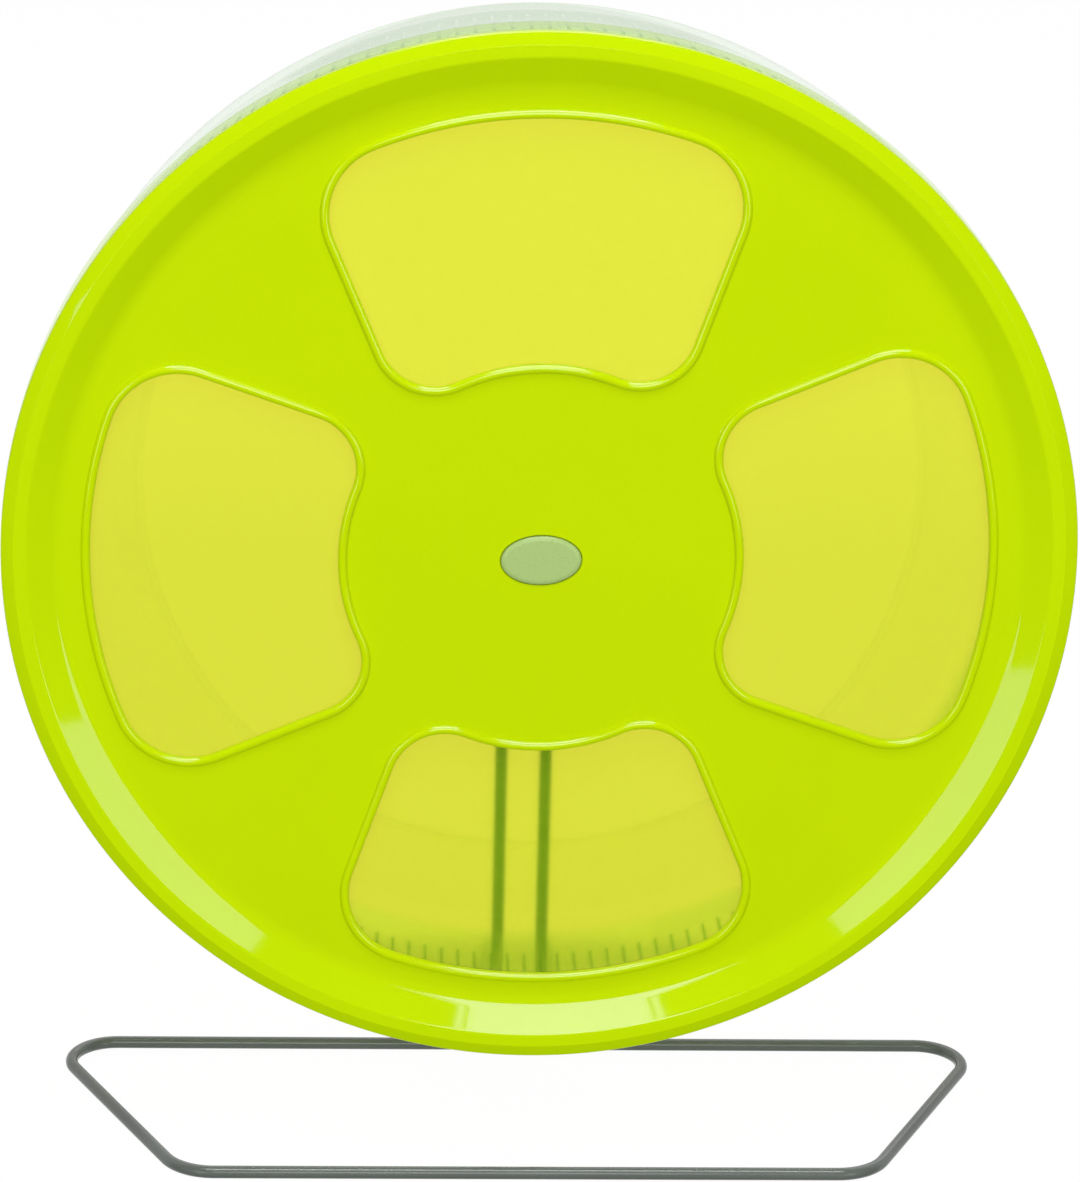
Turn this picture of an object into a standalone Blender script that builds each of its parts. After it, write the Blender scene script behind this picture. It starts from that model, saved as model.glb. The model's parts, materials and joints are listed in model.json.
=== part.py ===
"""Rodent exercise wheel: a dished disc with four tinted windows, a clear drum and a bent wire stand.

Metres, +Z up. The wheel turns about an axis along Y, and the windowed disc faces -Y.
The origin is on the ground, below the middle of the whole object.
"""

import math

import bmesh
import bpy
from mathutils import Matrix, Vector

# Fits and tool overrun
touch_gap = 0.0003          # left between two pieces that touch
running_clearance = 0.0003  # left between a turning piece and the axle
cut_overrun = 0.002         # how far a cutter stands past the face that it cuts
weld_distance = 0.000002    # points closer than this are one point

# Roundness of the meshes
wheel_columns = 90
boss_columns = 45
small_columns = 24
screw_columns = 12
wire_sides = 12
bend_steps = 6
rim_dome_steps = 3
window_arc_steps = {"inner": 3, "lobe": 6, "corner": 5, "outer": 5}
smooth_angle_degrees = 30.0  # edges sharper than this stay sharp

# Windowed disc
disc_radius = 0.1406
disc_wall = 0.0022
rim_width = 0.0066
rim_edge_radius = 0.0008     # inner edge of the rim
rim_dome_width = 0.0034      # outer part of the rim, which rounds back
rim_dome_drop = 0.0012
rim_side_depth = 0.0034
slope_width = 0.008
recess_depth = 0.004
skirt_depth = 0.0126        # the depths are measured from the front of the rim
skirt_wall = 0.0018
boss_radius = 0.022
boss_height = 0.0033
rest_turn_degrees = -2.0    # how the windows stand in their resting place

# Windows
window_count = 4
window_margin = 0.0084      # flat face outside the windows
window_inner_radius = 0.0531
window_corner_radius = 0.018
window_lobe_radius = 0.0145
spoke_half_width = 0.0234       # from the middle of a spoke to the corners of its windows
spoke_root_half_width = 0.0107  # and to the lobes
bead_width = 0.0021
bead_height = 0.0009
crest_share = 0.7           # of the bead's width that is flat on top
rebate_width = 0.0018
rebate_depth = 0.0012
pane_thickness = 0.0014

# Clear drum
collar_stand = 0.0002       # how far the collar stands out past the disc
collar_end_wall = 0.0007    # collar left behind the end of the skirt
collar_step = 0.0006
collar_shoulder = 0.0015    # from the collar down to the drum
drum_wall = 0.0018
drum_taper = 0.0046
drum_depth = 0.0733
drum_corner_radius = 0.007
drum_corner_steps = 3
entrance_rim_width = 0.0273  # back wall left round the entrance
entrance_lip_width = 0.0020
entrance_lip_height = 0.0022
rib_count = 180
rib_height = 0.0005
rib_root_step = 0.0001
rib_start_margin = 0.0021   # smooth wall before the ribs
rib_end_margin = 0.0173     # from the end of the ribs to the back of the drum

# Oval cap on the hub
cap_half_width = 0.0105
cap_half_height = 0.0066
cap_proud = 0.0006
cap_thickness = 0.0012
cap_points = 40

# Axle bolt and what runs on it
axle_radius = 0.003
axle_head_step = 0.0016     # from the shank out to the edge of the head
axle_head_height = 0.003
axle_socket_radius = 0.0018
axle_socket_depth = 0.0018
axle_end_stub = 0.0017      # thread that stands out of the nut
washer_thickness = 0.0008
washer_margin = 0.0005      # washer that shows round the head
bush_length = 0.010
bush_step = 0.0006          # from the washer out to the edge of the bush
hub_tube_wall = 0.0025
hub_tube_inset = 0.0033     # from the end of the tube to the back of the drum
hub_flange_radius = 0.020
hub_flange_thickness = 0.003
hub_screw_circle = 0.014
hub_screw_count = 4
spacer_length = 0.0109
spacer_radius = 0.0052

# Screws
screw_radius = 0.00125
screw_head_radius = 0.0025
screw_head_height = 0.0018
screw_slot_width = 0.0007
screw_slot_depth = 0.0007

# Holder that grips the wire
holder_side_margin = 0.0034  # from the screws to the sides
holder_top = 0.014
holder_bottom = -0.024
holder_plate_thickness = 0.00425
holder_corner_radius = 0.004
holder_corner_steps = 4
holder_screw_spacing = 0.00475  # from the middle of an upright to its screws
holder_screw_margin = 0.0055    # from the screws to the top and bottom
holder_screw_end_wall = 0.0010

# Nut behind the holder
nut_width = 0.010
nut_height = 0.0045
nut_washer_radius = 0.006

# Wire stand
wire_radius = 0.00175
upright_web = 0.0013        # holder left between the axle and an upright
upright_end_wall = 0.004    # holder left over the tops of the uprights
ground_gap = 0.0373         # under the wheel
base_near_y = 0.0025
base_near_half_width = 0.0949
base_far_half_width = 0.1366
base_near_bend_radius = 0.015
base_far_bend_radius = 0.0125
upright_bend_radius = 0.007

# Radii that follow from the disc
face_radius = disc_radius - rim_width - slope_width
window_outer_radius = face_radius - window_margin
collar_radius = disc_radius + collar_stand
drum_front_radius = collar_radius - collar_shoulder
drum_back_radius = drum_front_radius - drum_taper
entrance_radius = drum_back_radius - entrance_rim_width

# Radii and places that follow from the axle
axle_bore = axle_radius + running_clearance
axle_head_radius = axle_radius + axle_head_step
washer_radius = axle_head_radius + washer_margin
axle_hole_radius = washer_radius + touch_gap
bush_radius = washer_radius + bush_step
hub_bore = bush_radius + touch_gap
hub_tube_radius = hub_bore + hub_tube_wall
upright_x = axle_bore + upright_web + wire_radius
holder_screw_x = upright_x + holder_screw_spacing
holder_half_width = holder_screw_x + holder_side_margin
holder_screw_heights = (holder_top - holder_screw_margin, holder_bottom + holder_screw_margin)
upright_top = holder_top - upright_end_wall

# Places along the axle
face_y = recess_depth
disc_back_y = face_y + disc_wall
boss_back_y = disc_back_y + boss_height
cap_front_y = face_y - cap_proud
cap_back_y = cap_front_y + cap_thickness
cap_pocket_y = cap_back_y + touch_gap
flange_front_y = boss_back_y + touch_gap
collar_end_y = skirt_depth + collar_end_wall
rib_start_y = collar_end_y + collar_step + rib_start_margin
rib_end_y = drum_depth - rib_end_margin
hub_tube_end_y = drum_depth - hub_tube_inset
front_washer_y = boss_back_y - touch_gap
front_bush_y = front_washer_y + washer_thickness + touch_gap
axle_head_y = front_washer_y - touch_gap - axle_head_height
rear_bush_y = hub_tube_end_y - bush_length
rear_washer_y = hub_tube_end_y + touch_gap
spacer_y = rear_washer_y + washer_thickness + touch_gap
holder_front_y = spacer_y + spacer_length + touch_gap
wire_y = holder_front_y + holder_plate_thickness + touch_gap / 2
holder_clamp_y = wire_y + touch_gap / 2
holder_back_y = holder_clamp_y + holder_plate_thickness
nut_washer_y = holder_back_y + touch_gap
nut_y = nut_washer_y + washer_thickness + touch_gap
axle_end_y = nut_y + nut_height + axle_end_stub

# Where the wheel stands over the ground
wire_flat_radius = wire_radius * math.cos(math.pi / wire_sides)
axle_height = collar_radius + ground_gap
base_drop = axle_height - wire_flat_radius
wheel_place = Vector((0.0, -axle_end_y / 2, axle_height))


def material(name, colour, roughness, metallic=0.0, alpha=1.0):
    """One Principled material."""
    made = bpy.data.materials.new(name)
    made.use_nodes = True
    shader = made.node_tree.nodes["Principled BSDF"]
    shader.inputs["Base Color"].default_value = (*colour, 1.0)
    shader.inputs["Roughness"].default_value = roughness
    shader.inputs["Metallic"].default_value = metallic
    shader.inputs["Alpha"].default_value = alpha
    return made


lime = material("lime_plastic", (0.56, 0.74, 0.01), 0.3)
tinted = material("tinted_pane", (0.80, 0.82, 0.10), 0.2, alpha=0.5)
clear = material("clear_plastic", (0.85, 0.90, 0.85), 0.1, alpha=0.3)
badge = material("badge_plastic", (0.42, 0.58, 0.22), 0.35)
grey_plastic = material("grey_plastic", (0.20, 0.21, 0.21), 0.45)
bush_plastic = material("bush_plastic", (0.80, 0.79, 0.74), 0.4)
zinc_steel = material("zinc_steel", (0.62, 0.62, 0.60), 0.3, metallic=1.0)
wire_paint = material("wire_grey", (0.20, 0.23, 0.22), 0.3, metallic=0.6)


def clear_scene():
    """Start from nothing."""
    for old in list(bpy.data.objects):
        bpy.data.objects.remove(old, do_unlink=True)


def empty(name, place):
    """A named place that pieces hang from."""
    made = bpy.data.objects.new(name, None)
    made.location = place
    bpy.context.collection.objects.link(made)
    return made


def finish(name, bm, paint, parent):
    """Turn a bmesh into a smooth-shaded object under its parent."""
    bmesh.ops.recalc_face_normals(bm, faces=bm.faces)
    mesh = bpy.data.meshes.new(name)
    bm.to_mesh(mesh)
    bm.free()
    mesh.shade_smooth()
    mesh.set_sharp_from_angle(angle=math.radians(smooth_angle_degrees))
    if paint:
        mesh.materials.append(paint)
    made = bpy.data.objects.new(name, mesh)
    made.parent = parent
    bpy.context.collection.objects.link(made)
    return made


def bake(made):
    """Replace an object's mesh by the mesh that its modifiers give."""
    bpy.context.view_layer.update()
    graph = bpy.context.evaluated_depsgraph_get()
    mesh = bpy.data.meshes.new_from_object(made.evaluated_get(graph))
    made.modifiers.clear()
    made.data = mesh
    bm = bmesh.new()
    bm.from_mesh(mesh)
    tidy(bm)
    bm.to_mesh(mesh)
    bm.free()


def combine(made, tools, operation):
    """Cut tools from an object, or join them to it, and delete the tools."""
    for tool in tools:
        tool.hide_render = True
        tool.display_type = "WIRE"
        step = made.modifiers.new(operation.lower(), "BOOLEAN")
        step.operation = operation
        step.solver = "EXACT"
        step.object = tool
    bake(made)
    for tool in tools:
        bpy.data.objects.remove(tool, do_unlink=True)


def spin_profile(bm, profile, columns, closed=True):
    """Turn a profile of (radius, y) points about the Y axis."""
    verts = [bm.verts.new((radius, y, 0.0)) for radius, y in profile]
    edges = [bm.edges.new(pair) for pair in zip(verts, verts[1:])]
    if closed:
        edges.append(bm.edges.new((verts[-1], verts[0])))
    bmesh.ops.spin(bm, geom=verts + edges, cent=(0, 0, 0), axis=(0, 1, 0),
                   angle=math.tau, steps=columns, use_merge=True)
    tidy(bm)


def tidy(bm):
    """Join the points that lie on each other and drop what has no size."""
    bmesh.ops.remove_doubles(bm, verts=bm.verts, dist=weld_distance)
    bmesh.ops.dissolve_degenerate(bm, edges=bm.edges, dist=weld_distance)


def turned(name, profile, paint, parent, columns=small_columns, closed=True):
    """A ring from a closed profile of (radius, y) points, or a solid from one that ends on the axle."""
    bm = bmesh.new()
    spin_profile(bm, profile, columns, closed)
    return finish(name, bm, paint, parent)


def tube_profile(inner, outer, start, end):
    """The section of a plain tube along Y."""
    return [(inner, start), (outer, start), (outer, end), (inner, end)]


def rod(name, radius, start, end, paint, parent, place=(0.0, 0.0), columns=small_columns):
    """A solid rod along Y at a place (x, z)."""
    outline = circle(radius, columns, place)
    return plate(name, outline, start, end, paint, parent)


def plate(name, outline, start, end, paint, parent):
    """An outline of (x, z) points, extruded along Y."""
    bm = bmesh.new()
    face = bm.faces.new([bm.verts.new((x, start, z)) for x, z in outline])
    moved = bmesh.ops.extrude_face_region(bm, geom=[face])["geom"]
    verts = [item for item in moved if isinstance(item, bmesh.types.BMVert)]
    bmesh.ops.translate(bm, verts=verts, vec=(0.0, end - start, 0.0))
    return finish(name, bm, paint, parent)


def arc(centre, radius, start, end, steps):
    """Points of an arc; angles are in radians from +X towards +Z."""
    return [(centre[0] + radius * math.cos(start + (end - start) * k / steps),
             centre[1] + radius * math.sin(start + (end - start) * k / steps))
            for k in range(steps + 1)]


def beside_spoke(far, radius, half_width):
    """The middle of a circle in the top window, that far from the hub and beside the spoke, as (x, z)."""
    lean = math.asin((radius + half_width) / far)
    turn = math.pi / window_count + lean
    return far * math.cos(turn), far * math.sin(turn)


def window_outline(grow=0.0):
    """The window that points up, from its inner middle round by +X and back.

    The outer edge is an arc about the hub, the corners are arcs inside it, the sides are straight,
    and the two inner lobes touch an arc about the hub that bulges between them.
    """
    outer = window_outer_radius + grow
    inner = window_inner_radius - grow
    corner = window_corner_radius + grow
    lobe = window_lobe_radius + grow
    corner_far = window_outer_radius - window_corner_radius
    corner_place = beside_spoke(corner_far, window_corner_radius, spoke_half_width)
    lobe_far = window_inner_radius + window_lobe_radius
    lobe_place = beside_spoke(lobe_far, window_lobe_radius, spoke_root_half_width)
    # The straight side touches both arcs, so its normal is common to them
    across = (corner_place[0] - lobe_place[0], corner_place[1] - lobe_place[1])
    length = math.hypot(*across)
    lean = math.atan2(across[1], across[0])
    side = lean - math.acos((window_lobe_radius - window_corner_radius) / length)
    corner_top = math.atan2(corner_place[1], corner_place[0])
    lobe_bottom = math.atan2(lobe_place[1], lobe_place[0]) - math.pi
    quarter = math.pi / 2
    steps = window_arc_steps
    half = arc((0.0, 0.0), inner, quarter, lobe_bottom + math.pi, steps["inner"])[:-1]
    half += arc(lobe_place, lobe, lobe_bottom, side, steps["lobe"])
    half += arc(corner_place, corner, side, corner_top, steps["corner"])[:-1]
    half += arc((0.0, 0.0), outer, corner_top, quarter, steps["outer"])
    mirrored = [(-x, z) for x, z in reversed(half[1:-1])]
    return half + mirrored


def turned_outline(outline, number):
    """An outline of (x, z) points, turned to its place among the windows."""
    turn = math.tau * number / window_count
    along, across = math.cos(turn), math.sin(turn)
    return [(x * along + z * across, z * along - x * across) for x, z in outline]


def circle(radius, columns, place=(0.0, 0.0)):
    """The outline of a round edge, as (x, z) points."""
    turns = [math.tau * k / columns for k in range(columns)]
    return [(place[0] + radius * math.cos(turn), place[1] + radius * math.sin(turn)) for turn in turns]


def loop_at(bm, outline, y):
    """One closed loop of points at a depth."""
    return [bm.verts.new((x, y, z)) for x, z in outline]


def wall(bm, first, second):
    """The faces between two loops of as many points."""
    for k in range(len(first)):
        bm.faces.new((first[k - 1], first[k], second[k], second[k - 1]))


def walls(bm, outlines):
    """A run of walls through (outline, y) pairs; gives its first and last loop."""
    loops = [loop_at(bm, outline, y) for outline, y in outlines]
    for first, second in zip(loops, loops[1:]):
        wall(bm, first, second)
    return loops[0], loops[-1]


def fill(bm, loops):
    """The flat face inside the first loop and outside the others."""
    edges = []
    for loop in loops:
        for k in range(len(loop)):
            known = bm.edges.get((loop[k - 1], loop[k]))
            edges.append(known or bm.edges.new((loop[k - 1], loop[k])))
    bmesh.ops.triangle_fill(bm, edges=edges, use_beauty=True)


def oval(grow=0.0):
    """The outline of the cap on the hub."""
    return [((cap_half_width + grow) * math.cos(math.tau * k / cap_points),
             (cap_half_height + grow) * math.sin(math.tau * k / cap_points)) for k in range(cap_points)]


def hub_screw_places():
    """Where the screws stand round the hub, as (x, z)."""
    turns = [math.tau * (k + 0.5) / hub_screw_count for k in range(hub_screw_count)]
    return [(hub_screw_circle * math.cos(turn), hub_screw_circle * math.sin(turn)) for turn in turns]


def make_front_disc(parent):
    """The lime dish: rim, sloped wall, recessed face with four framed windows, skirt and hub boss."""
    rim_inner = disc_radius - rim_width
    skirt_outer = collar_radius - drum_wall - touch_gap
    skirt_inner = skirt_outer - skirt_wall
    slope_angle = math.atan2(recess_depth, slope_width)
    wall_shift = disc_wall * math.tan(slope_angle / 2)
    bm = bmesh.new()
    # The rim's outer part is a quarter of an oval, from flat in front to straight at the side
    quarter_round = arc((disc_radius - rim_dome_width, rim_dome_width), rim_dome_width,
                        -math.pi / 2, 0.0, rim_dome_steps)
    dome = [(radius, depth * rim_dome_drop / rim_dome_width) for radius, depth in quarter_round]
    profile = [
        (face_radius, face_y),
        (rim_inner, rim_edge_radius / 2),
        (rim_inner + rim_edge_radius, 0.0),
        *dome,
        (disc_radius, rim_side_depth),
        (skirt_outer, rim_side_depth),
        (skirt_outer, skirt_depth),
        (skirt_inner, skirt_depth),
        (skirt_inner, disc_wall),
        (rim_inner + wall_shift, disc_wall),
        (face_radius + wall_shift, disc_back_y),
    ]
    front_edge, back_edge = walls(bm, [(circle(radius, wheel_columns), y) for radius, y in profile])
    front_holes, back_holes = window_walls(bm)
    pocket_edge, pocket_floor = walls(bm, [(oval(touch_gap), face_y), (oval(touch_gap), cap_pocket_y)])
    hole = circle(axle_hole_radius, small_columns)
    hole_front, hole_back = walls(bm, [(hole, cap_pocket_y), (hole, boss_back_y)])
    boss = circle(boss_radius, boss_columns)
    boss_root, boss_back = walls(bm, [(boss, disc_back_y), (boss, boss_back_y)])
    screw_mouths = []
    for place in hub_screw_places():
        outline = circle(screw_radius + touch_gap, screw_columns, place)
        mouth, floor = walls(bm, [(outline, boss_back_y), (outline, disc_back_y)])
        fill(bm, [floor])
        screw_mouths.append(mouth)
    fill(bm, [front_edge, *front_holes, pocket_edge])
    fill(bm, [pocket_floor, hole_front])
    fill(bm, [back_edge, *back_holes, boss_root])
    fill(bm, [boss_back, hole_back, *screw_mouths])
    return finish("front_disc", bm, lime, parent)


def window_walls(bm):
    """The raised bead, the opening and the pane's rebate of every window."""
    rebate_y = disc_back_y - rebate_depth
    section = [
        (bead_width, face_y),
        (bead_width, face_y - bead_height / 2),
        (bead_width * crest_share, face_y - bead_height),
        (0.0, face_y - bead_height),
        (0.0, rebate_y),
        (rebate_width, rebate_y),
        (rebate_width, disc_back_y),
    ]
    fronts = []
    backs = []
    for number in range(window_count):
        front, back = walls(bm, [(turned_outline(window_outline(grow), number), y) for grow, y in section])
        fronts.append(front)
        backs.append(back)
    return fronts, backs


def make_panes(parent):
    """Four tinted panes, each in its rebate behind the disc."""
    names = ["window_pane_top", "window_pane_right", "window_pane_bottom", "window_pane_left"]
    front = disc_back_y - rebate_depth + touch_gap
    outline = window_outline(rebate_width - touch_gap)
    for number, name in enumerate(names):
        plate(name, turned_outline(outline, number), front, front + pane_thickness, tinted, parent)


def drum_radius_at(y):
    """Outer radius of the drum's tapered wall at a depth behind the rim."""
    start = collar_end_y + collar_step
    share = (y - start) / (drum_depth - start)
    return drum_front_radius + (drum_back_radius - drum_front_radius) * share


def make_drum(parent):
    """The clear drum: collar, tapered ribbed running wall and back wall with the entrance."""
    back_inner = drum_depth - drum_wall
    outer_corner = arc((drum_back_radius - drum_corner_radius, drum_depth - drum_corner_radius),
                       drum_corner_radius, 0.0, math.pi / 2, drum_corner_steps)
    inner_corner = arc((drum_back_radius - drum_corner_radius, drum_depth - drum_corner_radius),
                       drum_corner_radius - drum_wall, math.pi / 2, 0.0, drum_corner_steps)
    collar_inner = collar_radius - drum_wall
    shoulder_y = skirt_depth + touch_gap
    rib_end_radius = drum_radius_at(rib_end_y) - drum_wall
    rib_start_radius = drum_radius_at(rib_start_y) - drum_wall
    lip_outer = entrance_radius + entrance_lip_width
    profile = [(rib_start_radius, rib_start_y)]
    profile.append((drum_radius_at(shoulder_y) - drum_wall, shoulder_y))
    profile.append((collar_inner, shoulder_y))
    profile.append((collar_inner, rim_side_depth + touch_gap))
    profile.append((collar_radius, rim_side_depth + touch_gap))
    profile.append((collar_radius, collar_end_y))
    profile.append((drum_front_radius, collar_end_y + collar_step))
    profile += outer_corner
    profile.append((lip_outer, drum_depth))
    profile.append((lip_outer, drum_depth + entrance_lip_height))
    profile.append((entrance_radius, drum_depth + entrance_lip_height))
    profile.append((entrance_radius, back_inner))
    profile += inner_corner
    profile.append((rib_end_radius, rib_end_y))
    bm = bmesh.new()
    spin_profile(bm, profile, wheel_columns, closed=False)
    add_ribs(bm, (rib_start_y, rib_start_radius), (rib_end_y, rib_end_radius))
    return finish("drum", bm, clear, parent)


def add_ribs(bm, start, end):
    """Close the running wall between two smooth rings with fine ribs along the axle."""
    steps_per_column = 2 * rib_count // wheel_columns
    points = steps_per_column * wheel_columns
    rings = []
    for y, radius in (start, end):
        smooth = [vert for vert in bm.verts if abs(vert.co.y - y) < rib_root_step and
                  abs(math.hypot(vert.co.x, vert.co.z) - radius) < rib_root_step]
        smooth.sort(key=lambda vert: math.atan2(vert.co.z, vert.co.x) % math.tau)
        ribbed = []
        for k in range(points):
            turn = math.tau * k / points + math.atan2(smooth[0].co.z, smooth[0].co.x)
            crest = radius - (rib_root_step if k % 2 else rib_height)
            ribbed.append(bm.verts.new((crest * math.cos(turn), y, crest * math.sin(turn))))
        for k in range(wheel_columns):
            first = k * steps_per_column
            across = [ribbed[(first + step) % points] for step in range(steps_per_column + 1)]
            bm.faces.new([smooth[k], *across, smooth[(k + 1) % wheel_columns]])
        rings.append(ribbed)
    for k in range(points):
        after = (k + 1) % points
        bm.faces.new((rings[0][k], rings[0][after], rings[1][after], rings[1][k]))


def make_hub_cap(parent):
    """The plain oval cap over the end of the axle, with the stub that plugs its hole."""
    made = plate("hub_cap", oval(), cap_front_y, cap_back_y, badge, parent)
    stub_start = cap_back_y - cap_thickness / 2
    stub_end = axle_head_y - touch_gap
    stub = rod("stub_tool", axle_hole_radius - touch_gap, stub_start, stub_end, None, parent)
    combine(made, [stub], "UNION")
    return made


def make_hub(parent):
    """The bearing tube behind the disc, its two bushes and its four screws."""
    made = turned("hub_tube", [
        (hub_bore, flange_front_y),
        (hub_flange_radius, flange_front_y),
        (hub_flange_radius, flange_front_y + hub_flange_thickness),
        (hub_tube_radius, flange_front_y + hub_flange_thickness),
        (hub_tube_radius, hub_tube_end_y),
        (hub_bore, hub_tube_end_y),
    ], grey_plastic, parent)
    holes = [rod("screw_hole_tool", screw_radius + touch_gap, flange_front_y - cut_overrun,
                 flange_front_y + hub_flange_thickness + cut_overrun, None, parent, place, screw_columns)
             for place in hub_screw_places()]
    combine(made, holes, "DIFFERENCE")
    for name, start in (("front_bush", front_bush_y), ("rear_bush", rear_bush_y)):
        turned(name, tube_profile(axle_bore, bush_radius, start, start + bush_length),
               bush_plastic, parent)
    heads_y = flange_front_y + hub_flange_thickness + touch_gap
    make_screws("hub_screw", hub_screw_places(), heads_y, disc_back_y + touch_gap, parent)


def make_screws(name, places, seat, tip, parent):
    """Slotted screws along Y; seat is where the heads rest and tip is where the threads end."""
    top = seat + screw_head_height
    profile = [
        (0.0, tip),
        (screw_radius, tip),
        (screw_radius, seat),
        (screw_head_radius, seat),
        (screw_head_radius, top),
        (0.0, top),
    ]
    half = screw_slot_width / 2
    reach = screw_head_radius + cut_overrun
    slot = [(-reach, -half), (reach, -half), (reach, half), (-reach, half)]
    for number, place in enumerate(places, start=1):
        made = turned(f"{name}_{number}", profile, zinc_steel, parent, screw_columns, closed=False)
        tool = plate("slot_tool", slot, top - screw_slot_depth, top + cut_overrun, None, parent)
        combine(made, [tool], "DIFFERENCE")
        made.location = (place[0], 0.0, place[1])


def hexagon(across):
    """A hexagon as wide across its flats as given."""
    radius = across / 2 / math.cos(math.pi / 6)
    return [(radius * math.cos(math.tau * k / 6), radius * math.sin(math.tau * k / 6)) for k in range(6)]


def make_washer(name, radius, start, parent):
    """A washer on the axle, from a place on."""
    turned(name, tube_profile(axle_bore, radius, start, start + washer_thickness), zinc_steel, parent)


def make_axle(parent):
    """The axle bolt with its washers, spacer and nut."""
    shank_start = axle_head_y + axle_head_height
    turned("axle_bolt", [
        (0.0, axle_head_y + axle_socket_depth),
        (axle_socket_radius, axle_head_y + axle_socket_depth),
        (axle_socket_radius, axle_head_y),
        (axle_head_radius, axle_head_y),
        (axle_head_radius, shank_start),
        (axle_radius, shank_start),
        (axle_radius, axle_end_y),
        (0.0, axle_end_y),
    ], zinc_steel, parent, closed=False)
    make_washer("front_washer", washer_radius, front_washer_y, parent)
    make_washer("rear_washer", washer_radius, rear_washer_y, parent)
    make_washer("nut_washer", nut_washer_radius, nut_washer_y, parent)
    turned("axle_spacer", tube_profile(axle_bore, spacer_radius, spacer_y, spacer_y + spacer_length),
           grey_plastic, parent)
    nut_end = nut_y + nut_height
    nut = plate("axle_nut", hexagon(nut_width), nut_y, nut_end, zinc_steel, parent)
    hole = rod("nut_hole_tool", axle_bore, nut_y - cut_overrun, nut_end + cut_overrun, None, parent)
    combine(nut, [hole], "DIFFERENCE")


def holder_outline():
    """The rounded rectangle of the two holder plates."""
    radius = holder_corner_radius
    right = holder_half_width - radius
    high = holder_top - radius
    low = holder_bottom + radius
    quarter = math.pi / 2
    outline = arc((right, high), radius, 0.0, quarter, holder_corner_steps)
    outline += arc((-right, high), radius, quarter, 2 * quarter, holder_corner_steps)
    outline += arc((-right, low), radius, 2 * quarter, 3 * quarter, holder_corner_steps)
    outline += arc((right, low), radius, 3 * quarter, 4 * quarter, holder_corner_steps)
    return outline


def upright_groove_tool(side, parent):
    """The space that one upright takes in the holder."""
    bm = bmesh.new()
    low = holder_bottom - cut_overrun
    high = upright_top + touch_gap
    # The flats of the groove clear the wire, whichever way the flats of the wire face
    radius = (wire_radius + touch_gap) / math.cos(math.pi / wire_sides)
    bmesh.ops.create_cone(bm, cap_ends=True, segments=wire_sides, radius1=radius, radius2=radius,
                          depth=high - low)
    bmesh.ops.translate(bm, verts=bm.verts, vec=(side * upright_x, wire_y, (high + low) / 2))
    return finish("groove_tool", bm, None, parent)


def make_holder(parent):
    """Two plates that grip the wire's ends, held by four screws from behind."""
    places = [(side * holder_screw_x, height) for side in (-1, 1) for height in holder_screw_heights]
    screw_tip = holder_front_y + holder_screw_end_wall
    for name, start in (("holder_front", holder_front_y), ("holder_clamp", holder_clamp_y)):
        end = start + holder_plate_thickness
        made = plate(name, holder_outline(), start, end, grey_plastic, parent)
        tools = [upright_groove_tool(side, parent) for side in (-1, 1)]
        tools.append(rod("axle_hole_tool", axle_bore, start - cut_overrun,
                         end + cut_overrun, None, parent))
        hole_start = screw_tip - touch_gap if name == "holder_front" else start - cut_overrun
        for place in places:
            tools.append(rod("screw_hole_tool", screw_radius + touch_gap, hole_start, end + cut_overrun,
                             None, parent, place, screw_columns))
        combine(made, tools, "DIFFERENCE")
    make_screws("holder_screw", places, holder_back_y + touch_gap, screw_tip, parent)


def rounded_path(corners, radii, steps):
    """A path through corners, each one rounded by an arc of its radius."""
    points = [corners[0]]
    for before, corner, after, radius in zip(corners, corners[1:], corners[2:], radii):
        arriving = (corner - before).normalized()
        leaving = (after - corner).normalized()
        turn = arriving.angle(leaving)
        tangent = radius * math.tan(turn / 2)
        centre = corner + (leaving - arriving).normalized() * radius / math.cos(turn / 2)
        first = corner - arriving * tangent - centre
        axis = arriving.cross(leaving)
        for k in range(steps + 1):
            points.append(centre + Matrix.Rotation(turn * k / steps, 3, axis) @ first)
    points.append(corners[-1])
    return points


def make_stand_wire(parent):
    """One bent wire: up the left upright, round the base and up the right upright."""
    corners = []
    for side in (-1, 1):
        half = [Vector((side * upright_x, wire_y, upright_top)),
                Vector((side * upright_x, wire_y, -base_drop)),
                Vector((side * base_far_half_width, wire_y, -base_drop)),
                Vector((side * base_near_half_width, base_near_y, -base_drop))]
        corners += half if side < 0 else list(reversed(half))
    half_radii = [upright_bend_radius, base_far_bend_radius, base_near_bend_radius]
    radii = half_radii + half_radii[::-1]
    points = rounded_path(corners, radii, bend_steps)
    curve = bpy.data.curves.new("stand_wire", "CURVE")
    curve.dimensions = "3D"
    curve.twist_mode = "MINIMUM"
    curve.bevel_depth = wire_radius
    curve.bevel_resolution = wire_sides // 2 - 2
    curve.use_fill_caps = True
    spline = curve.splines.new("POLY")
    spline.points.add(len(points) - 1)
    for point, place in zip(spline.points, points):
        point.co = (*place, 1.0)
        point.tilt = math.pi / wire_sides
    path = bpy.data.objects.new("wire_path", curve)
    bpy.context.collection.objects.link(path)
    bpy.context.view_layer.update()
    graph = bpy.context.evaluated_depsgraph_get()
    bm = bmesh.new()
    bm.from_mesh(path.evaluated_get(graph).to_mesh())
    bpy.data.objects.remove(path, do_unlink=True)
    tidy(bm)
    return finish("stand_wire", bm, wire_paint, parent)


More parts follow.
